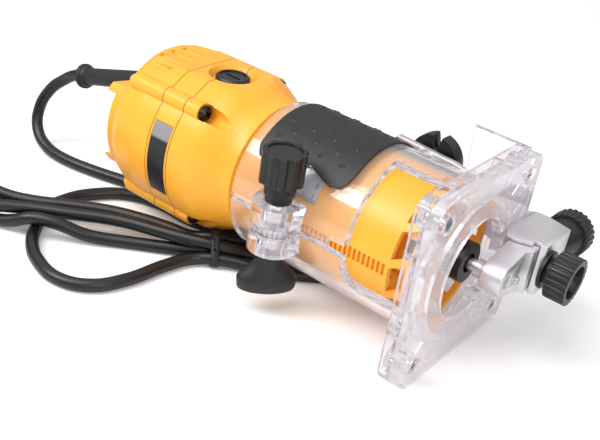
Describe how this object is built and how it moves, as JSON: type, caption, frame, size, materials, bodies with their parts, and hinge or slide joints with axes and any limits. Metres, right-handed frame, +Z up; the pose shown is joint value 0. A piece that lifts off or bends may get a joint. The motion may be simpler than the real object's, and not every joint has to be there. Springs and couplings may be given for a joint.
{
  "type": "electric router",
  "caption": "Palm-size electric trim router lying on its side: orange motor housing in a clear depth-adjustable base, with roller edge guide and mains cord",
  "frame": {"origin": "on the spindle's axis at the outer face of the sub-base, the face that rides on the work", "axes": "+X runs along the spindle out through the work face, +Z up as the router lies, +Y away from the depth knob"},
  "size_m": [0.3543, 0.2279, 0.09],
  "materials": {
    "orange_shell": "orange-yellow moulded shell, fine satin grain",
    "black_plastic": "black moulded plastic, lightly grained",
    "black_rubber": "soft matt black rubber",
    "clear_plastic": "clear, glossy, see-through",
    "satin_alloy": "die cast, satin",
    "bright_steel": "turned and plated",
    "dark_steel": "black oxide",
    "copper_wire": "varnished copper",
    "carbon": "graphite block",
    "label_film": "black film, bare",
    "scale_film": "silver film with ruled lines"
  },
  "bodies": {
    "motor": {"motor_housing": "orange_shell", "mid_ring": "orange_shell", "rear_cover": "orange_shell", "housing_screws": "dark_steel", "brush_caps": "black_plastic", "brush_holders": "copper_wire", "carbon_brushes": "carbon", "brush_springs": "copper_wire", "rating_label": "label_film", "depth_scale": "scale_film", "switch_body": "black_plastic", "front_bearing": "bright_steel", "rear_bearing": "bright_steel", "stator_core": "dark_steel", "stator_coils": "copper_wire", "cord_guard": "black_rubber", "cord_clamp": "black_rubber", "power_cord": "black_rubber", "cord_coil": "black_rubber", "cord_tie": "black_rubber", "plug_body": "black_plastic", "plug_pins": "copper_wire"},
    "rotor": {"spindle": "bright_steel", "rotor_core": "dark_steel", "rotor_windings": "copper_wire", "commutator": "copper_wire", "fan": "black_plastic", "collet": "bright_steel"},
    "nut": {"collet_nut": "bright_steel"},
    "switch": {"switch_rocker": "black_plastic"},
    "base": {"clear_base": "clear_plastic", "sub_base": "clear_plastic", "sub_base_screws": "dark_steel", "grip_pad": "black_rubber", "clamp_washer": "bright_steel", "guide_bolt": "bright_steel", "guide_washer": "bright_steel"},
    "knob": {"depth_knob": "black_plastic", "pinion_shaft": "bright_steel"},
    "wing": {"clamp_wing": "black_rubber"},
    "guide_wing": {"guide_wing_nut": "black_plastic"},
    "bracket": {"guide_bracket": "satin_alloy"},
    "arm": {"guide_arm": "satin_alloy", "arm_screw": "bright_steel", "roller_pin": "bright_steel"},
    "roller": {"guide_roller": "black_plastic"},
    "adjuster": {"adjust_knob": "black_plastic", "adjust_screw": "bright_steel"},
    "guide_clamp": {"guide_clamp_knob": "black_plastic", "guide_clamp_screw": "bright_steel"}
  },
  "joints": [
    {"name": "base_slide", "type": "slide", "parent": "motor", "child": "base", "axis": [1, 0, 0], "range_m": [-0.002, 0.03]},
    {"name": "depth_knob_turn", "type": "hinge", "parent": "base", "child": "knob", "pos_m": [-0.0785, -0.04125, 0], "axis": [0, 0, 1], "range_deg": [-15, 198]},
    {"name": "clamp_wing_turn", "type": "hinge", "parent": "base", "child": "wing", "pos_m": [-0.0785, -0.04125, -0.014], "axis": [0, 0, 1], "range_deg": [-30, 180]},
    {"name": "guide_wing_turn", "type": "hinge", "parent": "base", "child": "guide_wing", "pos_m": [-0.057, 0.05, 0.013], "axis": [0, 1, 0], "range_deg": [-180, 180]},
    {"name": "guide_bracket_slide", "type": "slide", "parent": "base", "child": "bracket", "axis": [1, 0, 0], "range_m": [0, 0.015]},
    {"name": "adjust_knob_turn", "type": "hinge", "parent": "bracket", "child": "adjuster", "pos_m": [0.0145, 0.05, 0], "axis": [0, 1, 0], "range_deg": [-4501, 2251]},
    {"name": "guide_arm_slide", "type": "slide", "parent": "bracket", "child": "arm", "axis": [0, 1, 0], "range_m": [-0.005, 0.01]},
    {"name": "guide_clamp_turn", "type": "hinge", "parent": "bracket", "child": "guide_clamp", "pos_m": [0.021, 0.0275, 0], "axis": [1, 0, 0], "range_deg": [0, 360]},
    {"name": "roller_spin", "type": "hinge", "parent": "arm", "child": "roller", "pos_m": [-0.007, 0.0032, 0], "axis": [1, 0, 0], "continuous": true},
    {"name": "spindle_spin", "type": "hinge", "parent": "motor", "child": "rotor", "pos_m": [-0.076, 0, 0], "axis": [1, 0, 0], "continuous": true},
    {"name": "collet_nut_turn", "type": "hinge", "parent": "rotor", "child": "nut", "pos_m": [-0.02, 0, 0], "axis": [1, 0, 0], "range_deg": [0, 360]},
    {"name": "switch_rock", "type": "hinge", "parent": "motor", "child": "switch", "pos_m": [-0.19, 0.008, -0.004], "axis": [0, 1, 0], "range_deg": [-20, 0]}
  ],
  "couplings": [
    {"joint": "depth_knob_turn", "follows": "base_slide", "rad_per_m": 114.24},
    {"joint": "adjust_knob_turn", "follows": "guide_arm_slide", "rad_per_m": -7854}
  ]
}
